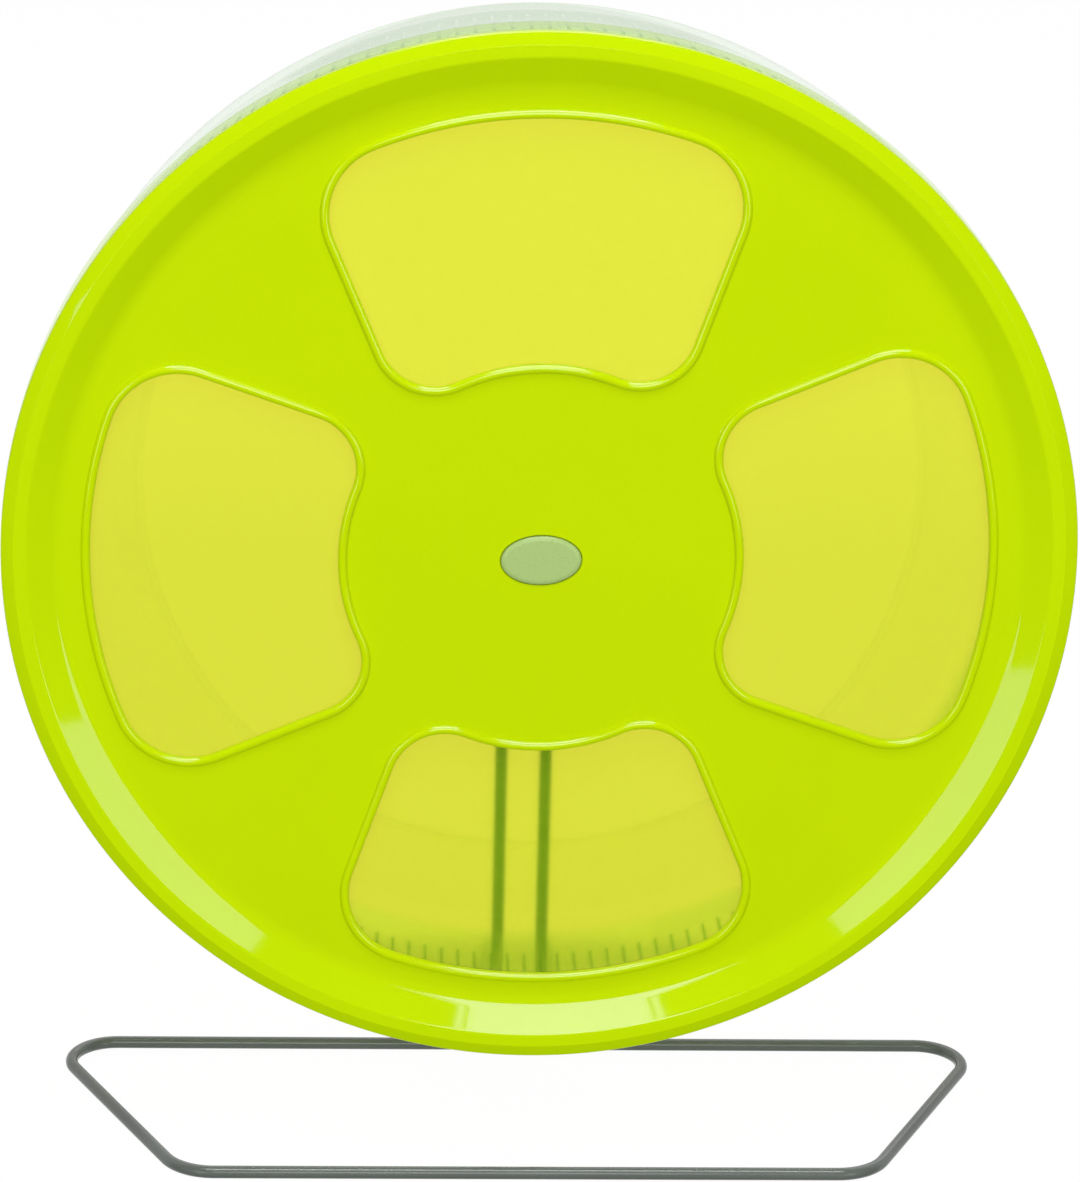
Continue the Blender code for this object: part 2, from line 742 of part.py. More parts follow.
def main():
    clear_scene()
    stand_axis = empty("stand_axis", wheel_place)
    wheel_axis = empty("wheel_axis", wheel_place)
    wheel_axis.rotation_euler.y = math.radians(rest_turn_degrees)
    make_front_disc(wheel_axis)
    make_panes(wheel_axis)
    make_drum(wheel_axis)
    make_hub_cap(wheel_axis)
    make_hub(wheel_axis)
    make_axle(stand_axis)
    make_holder(stand_axis)
    make_stand_wire(stand_axis)


main()
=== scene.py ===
"""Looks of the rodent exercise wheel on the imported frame: meshes, materials, studio, camera. Metres."""
import json
import math

import bmesh
import bpy
from mathutils import Matrix, Vector

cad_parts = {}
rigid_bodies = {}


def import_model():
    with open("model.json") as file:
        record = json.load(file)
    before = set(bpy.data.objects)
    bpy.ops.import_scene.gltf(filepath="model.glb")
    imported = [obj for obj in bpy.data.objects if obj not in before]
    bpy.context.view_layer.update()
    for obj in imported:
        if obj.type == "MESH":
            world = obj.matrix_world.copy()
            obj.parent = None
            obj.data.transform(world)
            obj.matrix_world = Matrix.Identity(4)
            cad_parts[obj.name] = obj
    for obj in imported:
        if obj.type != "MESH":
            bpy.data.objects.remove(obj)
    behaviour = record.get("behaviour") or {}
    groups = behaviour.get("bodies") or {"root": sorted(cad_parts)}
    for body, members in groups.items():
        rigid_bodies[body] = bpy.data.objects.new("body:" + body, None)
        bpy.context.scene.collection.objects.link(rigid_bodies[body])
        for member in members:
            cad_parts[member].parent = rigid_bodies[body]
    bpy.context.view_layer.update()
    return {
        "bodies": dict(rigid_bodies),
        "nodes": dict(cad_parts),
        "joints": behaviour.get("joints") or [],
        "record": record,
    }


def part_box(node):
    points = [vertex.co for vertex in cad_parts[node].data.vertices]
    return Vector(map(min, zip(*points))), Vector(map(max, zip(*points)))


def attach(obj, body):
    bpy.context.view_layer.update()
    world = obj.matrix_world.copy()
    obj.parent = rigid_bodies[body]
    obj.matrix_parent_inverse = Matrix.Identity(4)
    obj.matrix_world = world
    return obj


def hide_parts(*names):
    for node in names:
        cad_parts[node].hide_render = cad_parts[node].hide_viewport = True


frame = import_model()

# Where the wheel is: its middle at the front of the rim
disc_low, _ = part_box("front_disc")
bolt_low, bolt_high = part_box("axle_bolt")
hub = Vector((0.0, disc_low.y, (bolt_low.z + bolt_high.z) / 2))
# The wheel has stopped two degrees counter-clockwise of square, as seen from the front
rest_turn = math.radians(-2.0)
wheel_place = Matrix.Translation(hub) @ Matrix.Rotation(rest_turn, 4, "Y")
stand_place = Matrix.Translation(hub)
quarter = math.pi / 2


# Mesh helpers

def linked(name, data):
    """A new object in the scene."""
    made = bpy.data.objects.new(name, data)
    bpy.context.scene.collection.objects.link(made)
    return made


def arc(centre, radius, start, end, steps):
    """Points of an arc, angles in radians."""
    return [(centre[0] + radius * math.cos(start + (end - start) * k / steps),
             centre[1] + radius * math.sin(start + (end - start) * k / steps)) for k in range(steps + 1)]


def rounded(points, radii, steps=6):
    """A flat path through points, with an arc of its radius at each inner one."""
    path = [points[0]]
    for before, corner, after, radius in zip(points, points[1:], points[2:], radii):
        b, c, a = Vector(before), Vector(corner), Vector(after)
        if radius <= 0.0:
            path.append(corner)
            continue
        arriving, leaving = (c - b).normalized(), (a - c).normalized()
        turn = arriving.angle(leaving)
        if turn < 0.01:
            path.append(corner)
            continue
        reach = radius * math.tan(turn / 2)
        start, end = c - arriving * reach, c + leaving * reach
        centre = c + (leaving - arriving).normalized() * radius / math.cos(turn / 2)
        first = math.atan2(start.y - centre.y, start.x - centre.x)
        last = math.atan2(end.y - centre.y, end.x - centre.x)
        painted_shade_sweep = (last - first + math.pi) % math.tau - math.pi
        for k in range(steps + 1):
            angle = first + painted_shade_sweep * k / steps
            path.append((centre.x + radius * math.cos(angle), centre.y + radius * math.sin(angle)))
    path.append(points[-1])
    return path


def circle(radius, columns, place=(0.0, 0.0), start=0.0):
    """A round outline as (x, z) points."""
    turns = [start + math.tau * k / columns for k in range(columns)]
    return [(place[0] + radius * math.cos(t), place[1] + radius * math.sin(t)) for t in turns]


def loop_at(bm, outline, y):
    """New vertices along an outline of (x, z) points."""
    return [bm.verts.new((x, y, z)) for x, z in outline]


def wall(bm, first, second):
    """Faces between two loops of as many points."""
    for k in range(len(first)):
        bm.faces.new((first[k - 1], first[k], second[k], second[k - 1]))


def walls(bm, outlines):
    """Walls through (outline, y) pairs; gives back the first and the last loop."""
    loops = [loop_at(bm, outline, y) for outline, y in outlines]
    for first, second in zip(loops, loops[1:]):
        wall(bm, first, second)
    return loops[0], loops[-1]


def fill(bm, loops):
    """A flat face inside the first loop and outside the others, with a sharp border."""
    edges = []
    for loop in loops:
        for k in range(len(loop)):
            known = bm.edges.get((loop[k - 1], loop[k]))
            edges.append(known or bm.edges.new((loop[k - 1], loop[k])))
    bmesh.ops.triangle_fill(bm, edges=edges, use_beauty=True)
    for edge in edges:
        edge.smooth = False


def prism(levels):
    """A solid through (outline, y) pairs, flat at both ends."""
    bm = bmesh.new()
    for end in walls(bm, levels):
        fill(bm, [end])
    return bm


weld_distance = 0.000001


def piece(name, bm, paint, body, place, sharp=35.0, replaces=()):
    """A finished piece from a bmesh: normals out, smooth, on its body."""
    bmesh.ops.remove_doubles(bm, verts=bm.verts, dist=weld_distance)
    bmesh.ops.recalc_face_normals(bm, faces=bm.faces)
    bm.transform(place)
    limit = math.radians(sharp)
    for face in bm.faces:
        face.smooth = True
    for edge in bm.edges:
        if len(edge.link_faces) == 2 and edge.calc_face_angle(0.0) > limit:
            edge.smooth = False
    mesh = bpy.data.meshes.new(name)
    bm.to_mesh(mesh)
    bm.free()
    mesh.materials.append(paint)
    made = linked(name, mesh)
    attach(made, body)
    if replaces:
        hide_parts(*replaces)
    return made


# Materials

def nodes_of(name):
    """A new material, its node tree, its shader and its output."""
    made = bpy.data.materials.new(name)
    made.use_nodes = True
    tree = made.node_tree
    return made, tree, tree.nodes["Principled BSDF"], tree.nodes["Material Output"]


def noise(tree, scale, detail=2.0, roughness=0.5):
    """Noise in object space; scale is in cycles per metre."""
    place = tree.nodes.new("ShaderNodeTexCoord")
    made = tree.nodes.new("ShaderNodeTexNoise")
    made.inputs["Scale"].default_value = scale
    made.inputs["Detail"].default_value = detail
    made.inputs["Roughness"].default_value = roughness
    tree.links.new(place.outputs["Object"], made.inputs["Vector"])
    return made


def ramp(tree, source, low, high, start=0.3, end=0.7):
    """Two colours along a value."""
    made = tree.nodes.new("ShaderNodeValToRGB")
    made.color_ramp.elements[0].position = start
    made.color_ramp.elements[1].position = end
    made.color_ramp.elements[0].color = (*low, 1.0)
    made.color_ramp.elements[1].color = (*high, 1.0)
    tree.links.new(source, made.inputs["Fac"])
    return made.outputs["Color"]


def spread(tree, source, low, high, start=0.3, end=0.7):
    """A value mapped from one range to another."""
    made = tree.nodes.new("ShaderNodeMapRange")
    made.inputs["From Min"].default_value = start
    made.inputs["From Max"].default_value = end
    made.inputs["To Min"].default_value = low
    made.inputs["To Max"].default_value = high
    tree.links.new(source, made.inputs["Value"])
    return made.outputs["Result"]


def bump(tree, source, shader, strength, distance):
    """A fine relief from a value, on a shader."""
    made = tree.nodes.new("ShaderNodeBump")
    made.inputs["Strength"].default_value = strength
    made.inputs["Distance"].default_value = distance
    tree.links.new(source, made.inputs["Height"])
    tree.links.new(made.outputs["Normal"], shader.inputs["Normal"])


def math_node(tree, operation, first, second=0.0):
    """The result of a calculation on one or two values, each a number or a socket."""
    made = tree.nodes.new("ShaderNodeMath")
    made.operation = operation
    for socket, given in zip(made.inputs, (first, second)):
        if isinstance(given, float):
            socket.default_value = given
        else:
            tree.links.new(given, socket)
    return made.outputs[0]


def mix_colours(tree, share, first, second, blend="MIX"):
    """Two colours mixed; each colour is (r, g, b) or a socket, share a number or a socket."""
    made = tree.nodes.new("ShaderNodeMix")
    made.data_type = "RGBA"
    made.blend_type = blend
    for name, given in (("Factor", share), ("A", first), ("B", second)):
        if isinstance(given, float):
            made.inputs[name].default_value = given
        elif isinstance(given, tuple):
            made.inputs[name].default_value = (*given, 1.0)
        else:
            tree.links.new(given, made.inputs[name])
    return made.outputs["Result"]


def mix_shaders(tree, share, first, second):
    """The second shader laid over the first; share is a number or a socket."""
    mixed = tree.nodes.new("ShaderNodeMixShader")
    if isinstance(share, float):
        mixed.inputs["Fac"].default_value = share
    else:
        tree.links.new(share, mixed.inputs["Fac"])
    tree.links.new(first, mixed.inputs[1])
    tree.links.new(second, mixed.inputs[2])
    return mixed.outputs["Shader"]


def haze_shader(tree, colour):
    """The soft coloured scatter inside clear plastic."""
    made = tree.nodes.new("ShaderNodeBsdfPrincipled")
    made.inputs["Base Color"].default_value = (*colour, 1.0)
    made.inputs["Roughness"].default_value = 0.5
    made.inputs["Specular IOR Level"].default_value = 0.2
    return made.outputs["BSDF"]


def solid(name, low, high, rough, grain, bump_strength, metallic=0.0, specular=0.5,
          gloss_tint=(1.0, 1.0, 1.0)):
    """An opaque material whose colour drifts between two close tones, with fine grain in its gloss."""
    made, tree, shader, _ = nodes_of(name)
    drift = noise(tree, 18.0, 3.0)
    fine = noise(tree, grain, 3.0, 0.6)
    tree.links.new(ramp(tree, drift.outputs["Fac"], low, high), shader.inputs["Base Color"])
    tree.links.new(spread(tree, fine.outputs["Fac"], *rough), shader.inputs["Roughness"])
    bump(tree, fine.outputs["Fac"], shader, bump_strength, 0.0002)
    shader.inputs["Metallic"].default_value = metallic
    shader.inputs["Specular IOR Level"].default_value = specular
    shader.inputs["Specular Tint"].default_value = (*gloss_tint, 1.0)
    return made


def painted_rim_glow(paint):
    """Painted light: past a radius of 0.122 to 0.130 the base colour is made greener, standing in for light
    that passes through the thin sloped wall and rim.
    """
    tree = paint.node_tree
    socket = tree.nodes["Principled BSDF"].inputs["Base Color"]
    tone = socket.links[0].from_socket
    place = tree.nodes.new("ShaderNodeTexCoord")
    radius = tree.nodes.new("ShaderNodeVectorMath")
    radius.operation = "DISTANCE"
    radius.inputs[1].default_value = hub
    tree.links.new(place.outputs["Object"], radius.inputs[0])
    outside = spread(tree, radius.outputs["Value"], 0.0, 1.0, 0.122, 0.130)
    # The painted glow: green raised a little past the rim's inner radius
    painted_glow_tone = ramp(tree, outside, (1.0, 1.0, 1.0), (1.0, 1.035, 1.0), 0.0, 1.0)
    tree.links.new(mix_colours(tree, 1.0, tone, painted_glow_tone, "MULTIPLY"), socket)


def glassy(name, tint, rough, haze, haze_colour, ior, grain, lamp_tint):
    """Clear plastic that lamps shine through; haze is the share that scatters instead."""
    made, tree, shader, output = nodes_of(name)
    shader.inputs["Base Color"].default_value = (*tint, 1.0)
    shader.inputs["Transmission Weight"].default_value = 1.0
    shader.inputs["IOR"].default_value = ior
    fine = noise(tree, grain, 2.0)
    tree.links.new(spread(tree, fine.outputs["Fac"], *rough), shader.inputs["Roughness"])
    hazed = mix_shaders(tree, haze, shader.outputs["BSDF"], haze_shader(tree, haze_colour))
    through = tree.nodes.new("ShaderNodeBsdfTransparent")
    through.inputs["Color"].default_value = (*lamp_tint, 1.0)
    path = tree.nodes.new("ShaderNodeLightPath")
    final = mix_shaders(tree, path.outputs["Is Shadow Ray"], hazed, through.outputs["BSDF"])
    tree.links.new(final, output.inputs["Surface"])
    return made


# How much of the light clear plastic mirrors, seen straight on and along its face
mirror_share = 0.025, 0.80


def filmy(name, straight, aslant, haze, haze_colour, rough, grain=400.0, within=None):
    """Thin clear moulding: what is behind shows through, darker where it's seen aslant, under a gloss.

    straight and aslant are the tints of what shows through, haze the share that scatters straight on and
    aslant, and within the tint of a face that is seen from inside the moulding.
    """
    made, tree, shader, output = nodes_of(name)
    slant = tree.nodes.new("ShaderNodeLayerWeight")
    slant.inputs["Blend"].default_value = 0.5
    through = tree.nodes.new("ShaderNodeBsdfTransparent")
    tint = ramp(tree, slant.outputs["Facing"], straight, aslant, 0.1, 1.0)
    if within:
        side = tree.nodes.new("ShaderNodeNewGeometry")
        tint = mix_colours(tree, side.outputs["Backfacing"], tint, within)
    tree.links.new(tint, through.inputs["Color"])
    # The mirrored share grows with the fifth power of the slant
    grazing = math_node(tree, "POWER", slant.outputs["Facing"], 5.0)
    shader.inputs["Base Color"].default_value = (0.96, 0.97, 0.96, 1.0)
    shader.inputs["Metallic"].default_value = 1.0
    fine = noise(tree, grain, 2.0)
    tree.links.new(spread(tree, fine.outputs["Fac"], *rough), shader.inputs["Roughness"])
    share = spread(tree, grazing, *mirror_share, 0.0, 1.0)
    mirror = mix_shaders(tree, share, through.outputs["BSDF"], shader.outputs["BSDF"])
    scattered = spread(tree, slant.outputs["Facing"], *haze, 0.0, 1.0)
    hazed = mix_shaders(tree, scattered, mirror, haze_shader(tree, haze_colour))
    tree.links.new(hazed, output.inputs["Surface"])
    return made


lime = solid("lime_plastic", (0.568, 0.756, 0.0), (0.588, 0.778, 0.0), (0.035, 0.050), 700.0, 0.015,
             specular=1.0, gloss_tint=(0.68, 0.53, 1.0))
# Painted light: the lime grows greener on the rim, in place of light shining through it
painted_rim_glow(lime)
tinted = glassy("tinted_pane", (0.93, 0.77, 0.065), (0.10, 0.12), 0.14, (0.44, 1.0, 0.01), 1.3, 300.0,
                (0.80, 0.82, 0.25))
clear = filmy("clear_plastic", (1.0, 1.0, 0.995), (0.79, 0.91, 0.74), (0.0, 0.07), (0.85, 0.95, 0.85),
              (0.04, 0.08))
# The ribs are real relief; their darker, greener tint is painted shade, standing in for the lime-tinted
# shade seen through the running wall low in the wheel
shaded_rib_film = filmy("clear_ribs_painted_shade", (0.80, 0.90, 0.78), (0.50, 0.68, 0.46), (0.03, 0.10), (0.70, 0.85, 0.65),
                 (0.05, 0.10))
# The ribs' rear sections: a dark green tint painted as shade on the ticks seen through the bottom window,
# pale where seen from the other side of the wall
painted_shade_rib_ends = filmy("clear_rib_ends_painted_shade", (0.40, 0.55, 0.25), (0.32, 0.48, 0.22), (0.02, 0.06),
                (0.60, 0.80, 0.50), (0.05, 0.10), within=(0.93, 0.96, 0.92))
# The collar, tinted yellow-green with painted light that stands in for the lime skirt showing through it
painted_lime_collar_film = filmy("clear_collar_painted_lime", (0.86, 0.97, 0.50), (0.70, 0.89, 0.36), (0.03, 0.10),
                    (0.70, 0.90, 0.40), (0.04, 0.08))
# The lip of the entrance, bright where it's seen aslant
lip_film = filmy("clear_lip", (1.0, 1.0, 0.995), (0.955, 0.98, 0.93), (0.0, 0.10), (0.90, 0.97, 0.88),
                 (0.04, 0.08))
badge = solid("badge_plastic", (0.405, 0.555, 0.175), (0.42, 0.575, 0.195), (0.25, 0.32), 900.0, 0.04)
grey_plastic = solid("grey_plastic", (0.150, 0.158, 0.156), (0.185, 0.192, 0.190), (0.42, 0.55), 1500.0,
                     0.2)
bush_plastic = solid("bush_plastic", (0.72, 0.71, 0.66), (0.78, 0.77, 0.72), (0.35, 0.45), 1200.0, 0.1)
zinc = solid("zinc_steel", (0.52, 0.53, 0.53), (0.66, 0.66, 0.64), (0.22, 0.34), 900.0, 0.12, metallic=1.0)
wire_paint = solid("wire_grey", (0.125, 0.138, 0.126), (0.145, 0.158, 0.146), (0.13, 0.18), 1600.0, 0.04,
                   specular=0.6)


# The windowed disc, in the wheel's own frame: y runs back from the front of the rim

rim_columns = 300
disc_radius = 0.1406
disc_wall = 0.0022
rim_inner = 0.134
dome_width, dome_drop = 0.0034, 0.0013
face_radius = 0.126
face_y = 0.004
disc_back_y = face_y + disc_wall
boss_back_y = 0.0095
boss_radius = 0.022
rim_side_y = 0.0034
skirt_end_y = 0.0126
skirt_outer = 0.1387
skirt_inner = 0.1369
touch = 0.0003
rebate_width = 0.0018
rebate_y = disc_back_y - 0.0012
pane_y = rebate_y + touch
pane_thickness = 0.0014
window_outer, window_inner = 0.1176, 0.0531
corner_radius, lobe_radius = 0.018, 0.0145
corner_beside_spoke, lobe_beside_spoke = 0.0234, 0.0107
bead_width, bead_height, bead_edge = 0.0025, 0.0009, 0.0001
cap_half_width, cap_half_height = 0.0105, 0.0066
pocket_floor_y = 0.0049
axle_hole_radius = 0.0054
hub_screw_circle = 0.014
screw_radius = 0.00125
hub_screw_places = [(hub_screw_circle * math.cos(turn), hub_screw_circle * math.sin(turn))
                    for turn in (math.tau * (k + 0.5) / 4 for k in range(4))]


def beside_spoke(far, radius, half_width):
    """The centre of an arc at the distance far from the hub, beside a spoke of the given half width."""
    turn = math.pi / 4 + math.asin((radius + half_width) / far)
    return far * math.cos(turn), far * math.sin(turn)


def window_outline(grow=0.0):
    """The window that points up, larger by grow all round."""
    corner = beside_spoke(window_outer - corner_radius, corner_radius, corner_beside_spoke)
    lobe = beside_spoke(window_inner + lobe_radius, lobe_radius, lobe_beside_spoke)
    across = (corner[0] - lobe[0], corner[1] - lobe[1])
    side = math.atan2(across[1], across[0]) - math.acos((lobe_radius - corner_radius) / math.hypot(*across))
    corner_top = math.atan2(corner[1], corner[0])
    lobe_bottom = math.atan2(lobe[1], lobe[0]) - math.pi
    half = arc((0.0, 0.0), window_inner - grow, quarter, lobe_bottom + math.pi, 14)[:-1]
    half += arc(lobe, lobe_radius + grow, lobe_bottom, side, 30)
    steps = 6
    start = Vector(half[-1])
    end = Vector(arc(corner, corner_radius + grow, side, corner_top, 1)[0])
    half += [tuple(start.lerp(end, k / steps)) for k in range(1, steps)]
    half += arc(corner, corner_radius + grow, side, corner_top, 24)[:-1]
    half += arc((0.0, 0.0), window_outer + grow, corner_top, quarter, 24)
    return half + [(-x, z) for x, z in reversed(half[1:-1])]


def turned(outline, number):
    """An outline turned clockwise by a number of quarters, as seen from the front."""
    turn = math.tau * number / 4
    c, s = math.cos(turn), math.sin(turn)
    return [(x * c + z * s, z * c - x * s) for x, z in outline]


def bead_section():
    """The bead round a window as (grow, y): up from the pane, over the top and down to the face."""
    section = [(rebate_width, disc_back_y), (rebate_width, rebate_y), (0.0, rebate_y),
               (0.0, face_y - bead_edge)]
    steps = 12
    for k in range(1, steps + 1):
        angle = math.pi * k / steps
        section.append(((bead_width - 2 * bead_edge) / 2 * (1 - math.cos(angle)),
                        face_y - bead_edge - (bead_height - bead_edge) * math.sin(angle)))
    section.append((bead_width, face_y))
    return section


def oval(grow=0.0, points=96):
    """The cap's outline, larger by grow all round."""
    turns = [math.tau * k / points for k in range(points)]
    return [((cap_half_width + grow) * math.cos(t), (cap_half_height + grow) * math.sin(t)) for t in turns]


def make_disc():
    """The lime dish: rim, slope and face in front, skirt, boss and the windows' rebates behind."""
    bm = bmesh.new()
    shift = disc_wall * math.tan(math.atan2(face_y, rim_inner - face_radius) / 2)
    front = rounded([
        (face_radius - 0.006, face_y),
        (face_radius, face_y),
        (rim_inner, 0.0),
        (disc_radius - dome_width, 0.0),
        (disc_radius, dome_drop),
        (disc_radius, rim_side_y),
        (skirt_outer, rim_side_y),
        (skirt_outer, skirt_end_y),
        (skirt_inner, skirt_end_y),
        (skirt_inner, disc_wall),
        (rim_inner + shift, disc_wall),
        (face_radius + shift, disc_back_y),
        (face_radius - 0.004, disc_back_y),
    ], [0.0095, 0.0022, 0.0001, 0.0006, 0.0003, 0.0004, 0.0003, 0.0003, 0.001, 0.001, 0.002], 8)
    front_edge, back_edge = walls(bm, [(circle(radius, rim_columns), y) for radius, y in front])
    fronts, backs = [], []
    for number in range(4):
        back, first = walls(bm, [(turned(window_outline(grow), number), y) for grow, y in bead_section()])
        fronts.append(first)
        backs.append(back)
    pocket = [(oval(touch + 0.0002), face_y), (oval(touch), face_y + 0.0002), (oval(touch), pocket_floor_y)]
    pocket_edge, pocket_floor = walls(bm, pocket)
    axle_hole = circle(axle_hole_radius, 48)
    hole_front, hole_back = walls(bm, [(axle_hole, pocket_floor_y), (axle_hole, boss_back_y)])
    boss = [(boss_radius + 0.0008, disc_back_y), (boss_radius + 0.0002, disc_back_y + 0.0002),
            (boss_radius, disc_back_y + 0.0008), (boss_radius, boss_back_y - 0.0004),
            (boss_radius - 0.0004, boss_back_y)]
    boss_root, boss_back = walls(bm, [(circle(radius, 120), y) for radius, y in boss])
    mouths = []
    for place in hub_screw_places:
        outline = circle(screw_radius + touch, 24, place)
        mouth, floor = walls(bm, [(outline, boss_back_y), (outline, disc_back_y)])
        fill(bm, [floor])
        mouths.append(mouth)
    fill(bm, [front_edge, *fronts, pocket_edge])
    fill(bm, [pocket_floor, hole_front])
    fill(bm, [back_edge, *backs, boss_root])
    fill(bm, [boss_back, hole_back, *mouths])
    piece("disc_moulding", bm, lime, "wheel", wheel_place, 40.0, ["front_disc"])


def make_panes():
    """Four tinted sheets, whose cut edges carry the lime of the rebate round them."""
    for number, side in enumerate(["top", "right", "bottom", "left"]):
        name = "window_pane_" + side
        bm = bmesh.new()
        outline = turned(window_outline(rebate_width - touch), number)
        first, last = walls(bm, [(outline, pane_y), (outline, pane_y + pane_thickness)])
        for face in bm.faces:
            face.material_index = 1
        fill(bm, [first])
        fill(bm, [last])
        made = piece(name + "_sheet", bm, tinted, "wheel", wheel_place, 30.0, [name])
        made.data.materials.append(lime)


def make_cap():
    """The plain oval cap, its edge rounded, with the stub that goes into the axle's hole."""
    bm = bmesh.new()
    front_y, back_y, stub_end_y = face_y - 0.0006, 0.0046, 0.0056
    edge = [(-0.0012, 0.0), (-0.0006, 0.00008), (-0.0002, 0.00025), (0.0, 0.0005)]
    levels = [(oval(grow), front_y + depth) for grow, depth in edge]
    first, last = walls(bm, levels + [(oval(), back_y)])
    fill(bm, [first])
    stub_outline = circle(axle_hole_radius - touch, 48)
    stub, end = walls(bm, [(stub_outline, back_y), (stub_outline, stub_end_y)])
    fill(bm, [last, stub])
    fill(bm, [end])
    piece("hub_cap_oval", bm, badge, "wheel", wheel_place, 30.0, ["hub_cap"])


# The clear drum

rib_count = 180
# Across a rib and the smooth wall after it, as shares of the spacing, and how high the rib stands there
rib_section = [(-0.105, 0.0), (-0.075, 0.0005), (0.075, 0.0005), (0.105, 0.0), (0.37, 0.0), (0.63, 0.0)]


def make_drum():
    """One clear moulding: collar, tapered running wall with ribs inside, back wall and entrance lip."""
    collar_outer, collar_inner = 0.1407, 0.1390
    front_r, back_r, depth, wall_t = 0.1393, 0.1347, 0.0733, 0.0018
    collar_end, step = 0.0133, 0.0006

    def outer_at(y):
        return front_r + (back_r - front_r) * (y - collar_end - step) / (depth - collar_end - step)

    shoulder = skirt_end_y + touch
    entrance, lip_w, lip_h = 0.1074, 0.0020, 0.0022
    # The ribs' ends, darker with painted shade, lie behind the first, the collar with its painted lime tint
    # outside the second and the lip inside the third
    rib_end_y, collar_film_radius, lip_film_radius = 0.044, front_r + 0.0008, entrance + lip_w + 0.001
    outer = rounded([
        (collar_inner, rim_side_y + touch),
        (collar_outer, rim_side_y + touch),
        (collar_outer, collar_end),
        (front_r, collar_end + step),
        (outer_at(0.040), 0.040),
        (back_r, depth),
        (entrance + lip_w, depth),
        (entrance + lip_w, depth + lip_h),
        (entrance, depth + lip_h),
        (entrance, depth - wall_t),
        (back_r - wall_t, depth - wall_t),
        (outer_at(0.056) - wall_t, 0.056),
    ], [0.0003, 0.0004, 0.0002, 0.0, 0.007, 0.0006, 0.0006, 0.0006, 0.0004, 0.0052], 8)
    # The inside of the running wall, from the end of the ribs to the shoulder that meets the skirt
    rib_levels = (0.0555, 0.055, 0.050, 0.045, 0.040, 0.035, 0.030, 0.025, 0.020, 0.0165, 0.016)
    ribbed = [(outer_at(y) - wall_t, y) for y in rib_levels]
    first_rib = len(outer) + 1
    last_rib = len(outer) + len(ribbed) - 2
    profile = outer + ribbed + [
        (outer_at(shoulder + 0.0003) - wall_t, shoulder + 0.0003),
        (outer_at(shoulder) - wall_t + 0.0003, shoulder),
        (collar_inner - 0.0001, shoulder),
        (collar_inner, shoulder - 0.0001),
    ]
    loops = []
    for number in range(rib_count):
        for share, height in rib_section:
            turn = math.tau * (number + share) / rib_count
            loop = []
            for index, (radius, y) in enumerate(profile):
                r = radius - (height if first_rib <= index <= last_rib else 0.0)
                loop.append((r * math.cos(turn), y, r * math.sin(turn)))
            loops.append(loop)
    bm = bmesh.new()
    rings = [[bm.verts.new(place) for place in loop] for loop in loops]
    for k in range(len(rings)):
        one, two = rings[k - 1], rings[k]
        for j in range(len(profile)):
            made = bm.faces.new((one[j - 1], one[j], two[j], two[j - 1]))
            # Rib faces take the painted-shade tints, the collar its painted lime tint
            if first_rib < j <= last_rib and k % len(rib_section) in (1, 2, 3):
                made.material_index = 2 if profile[j][1] > rib_end_y else 1
            elif min(profile[j][0], profile[j - 1][0]) > collar_film_radius:
                made.material_index = 3
            elif max(profile[j][0], profile[j - 1][0]) < lip_film_radius:
                made.material_index = 4
    made = piece("drum_moulding", bm, clear, "wheel", wheel_place, 40.0, ["drum"])
    for paint in (shaded_rib_film, painted_shade_rib_ends, painted_lime_collar_film, lip_film):
        made.data.materials.append(paint)


# The wire stand

wire_y, near_y = 0.0870, 0.0025
wire_radius = 0.00175
upright_x, upright_top = 0.00635, 0.010
far_x, near_x = 0.1366, 0.0949
upright_bend, far_bend, near_bend = 0.007, 0.0125, 0.015


def rounded_path(corners, radii, steps):
    """A path through corners in space, with an arc of its radius at each inner one."""
    points = [corners[0]]
    for before, corner, after, radius in zip(corners, corners[1:], corners[2:], radii):
        arriving, leaving = (corner - before).normalized(), (after - corner).normalized()
        turn = arriving.angle(leaving)
        centre = corner + (leaving - arriving).normalized() * radius / math.cos(turn / 2)
        first = corner - arriving * radius * math.tan(turn / 2) - centre
        axis = arriving.cross(leaving)
        points += [centre + Matrix.Rotation(turn * k / steps, 3, axis) @ first for k in range(steps + 1)]
    points.append(corners[-1])
    return points


def tube(bm, points, radius, sides):
    """A round tube along points, its ends bevelled a little."""
    frames = []
    tangent = (points[1] - points[0]).normalized()
    normal = tangent.orthogonal().normalized()
    for k, point in enumerate(points):
        ahead = (points[min(k + 1, len(points) - 1)] - points[max(k - 1, 0)]).normalized()
        turn = tangent.rotation_difference(ahead)
        normal = (turn @ normal).normalized()
        normal = (normal - ahead * normal.dot(ahead)).normalized()
        tangent = ahead
        frames.append((point, ahead, normal))

    def round_at(frame, size, push):
        point, ahead, side = frame
        other = ahead.cross(side)
        return [bm.verts.new(point + ahead * push + (side * x + other * y) * size)
                for x, y in circle(1.0, sides)]

    bevel = radius * 0.25
    rings = [round_at(frames[0], radius - bevel, 0.0), round_at(frames[0], radius, bevel)]
    rings += [round_at(frame, radius, 0.0) for frame in frames[1:-1]]
    rings += [round_at(frames[-1], radius, -bevel), round_at(frames[-1], radius - bevel, 0.0)]
    for one, two in zip(rings, rings[1:]):
        wall(bm, one, two)
    fill(bm, [rings[0]])
    fill(bm, [rings[-1]])


